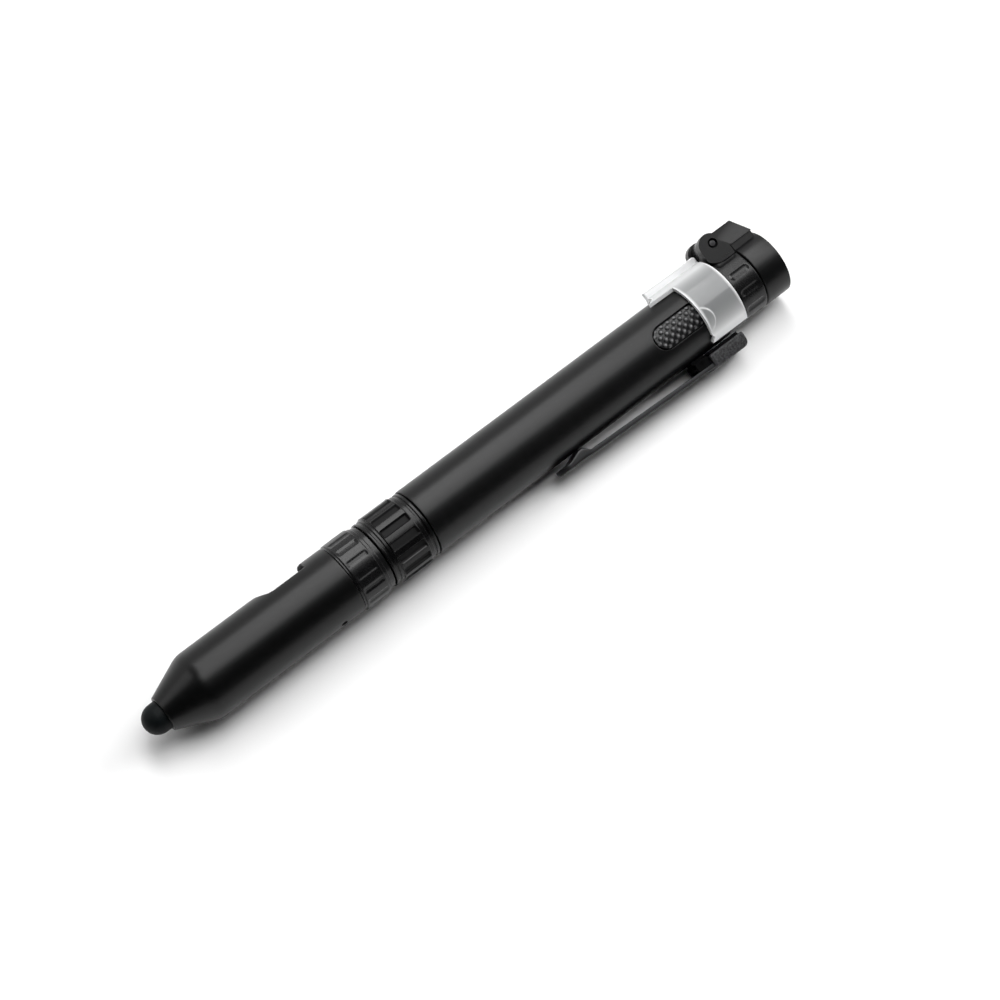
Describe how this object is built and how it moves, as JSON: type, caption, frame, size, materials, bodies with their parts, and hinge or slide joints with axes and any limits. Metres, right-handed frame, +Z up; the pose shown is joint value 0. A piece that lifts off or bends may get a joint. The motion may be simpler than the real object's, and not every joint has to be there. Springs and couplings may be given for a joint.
{
  "type": "multi tool pen",
  "caption": "Pen tool with a rubber stylus tip, bottle opener notch, screw-off cap over a ball pen, driver bit, pocket clip, push switch under a clear guard and folding torch head.",
  "frame": {"origin": "middle of the bottom of the bounding box of the pen as it lies on a desk on its grip rings and the thumb pad of its clip", "axes": "+X along the pen from the stylus tip to the torch, +Z up; the button faces up and is rolled 23.1 degrees towards -Y, with the hinge and the opener notch on the +Y side and the clip on the -Y side"},
  "size_m": [0.1502, 0.023, 0.0156],
  "materials": {
    "anodised": "matte black anodised",
    "anodised_satin": "satin black anodised",
    "black_steel": "black oxide, fine grain",
    "steel": "bright",
    "brass": "plain",
    "rubber": "matte black",
    "inner_plastic": "moulded",
    "board": "solder mask",
    "clear_plastic": "milky clear",
    "lens_plastic": "clear",
    "mirror": "metallised",
    "phosphor": "phosphor yellow"
  },
  "bodies": {
    "barrel": {"barrel": "anodised", "battery_partition": "inner_plastic", "battery_spring": "steel", "cell_1": "steel", "cell_2": "steel", "cell_3": "steel", "contact_plate": "brass", "switch_carrier": "inner_plastic", "switch_board": "board", "switch_body": "inner_plastic", "clip_bracket": "black_steel", "clip_pivot_pin": "steel", "clip_spring": "steel", "neck_collar": "anodised_satin"},
    "head": {"head_housing": "anodised", "hinge_pin": "steel", "led_board": "board", "led_chip": "phosphor", "reflector": "mirror", "head_lens": "lens_plastic", "head_bezel": "anodised_satin"},
    "button": {"button": "anodised_satin"},
    "clip": {"pocket_clip": "black_steel"},
    "guard": {"switch_guard": "clear_plastic"},
    "coupling": {"coupling_body": "anodised", "coupling_grip_ring": "anodised_satin", "front_oring": "rubber", "rear_oring": "rubber", "socket_magnet": "steel", "pen_nose": "anodised", "refill_point": "brass", "refill_tube": "steel", "refill_plug": "inner_plastic"},
    "cap": {"front_cap": "anodised", "cap_grip_ring": "anodised_satin", "stylus_tip": "rubber", "stylus_holder": "inner_plastic", "opener_stud": "steel"},
    "bit": {"screwdriver_bit": "steel"}
  },
  "joints": [
    {"name": "head_fold", "type": "hinge", "parent": "barrel", "child": "head", "pos_m": [0.06655, 0.00771, 0.01067], "axis": [0, -0.3929, 0.9196], "range_deg": [0, 90]},
    {"name": "switch_press", "type": "slide", "parent": "barrel", "child": "button", "axis": [0, 0.3929, -0.9196], "range_m": [0, 0.00075], "stiffness_N_per_m": 2500, "springref_m": -0.0004},
    {"name": "clip_open", "type": "hinge", "parent": "barrel", "child": "clip", "pos_m": [0.05075, -0.00806, 0.00393], "axis": [0, -0.3929, 0.9196], "range_deg": [0, 3.2], "stiffness_Nm_per_rad": 0.8, "springref_deg": -1.72},
    {"name": "guard_pull", "type": "slide", "parent": "barrel", "child": "guard", "axis": [0, 0.2226, 0.9749], "range_m": [0, 0.025]},
    {"name": "coupling_unscrew", "type": "slide", "parent": "barrel", "child": "coupling", "axis": [-1, 0, 0], "range_m": [0, 0.06]},
    {"name": "cap_unscrew", "type": "slide", "parent": "coupling", "child": "cap", "axis": [-1, 0, 0], "range_m": [0, 0.06]},
    {"name": "bit_pull", "type": "slide", "parent": "coupling", "child": "bit", "axis": [1, 0, 0], "range_m": [0, 0.009]}
  ]
}
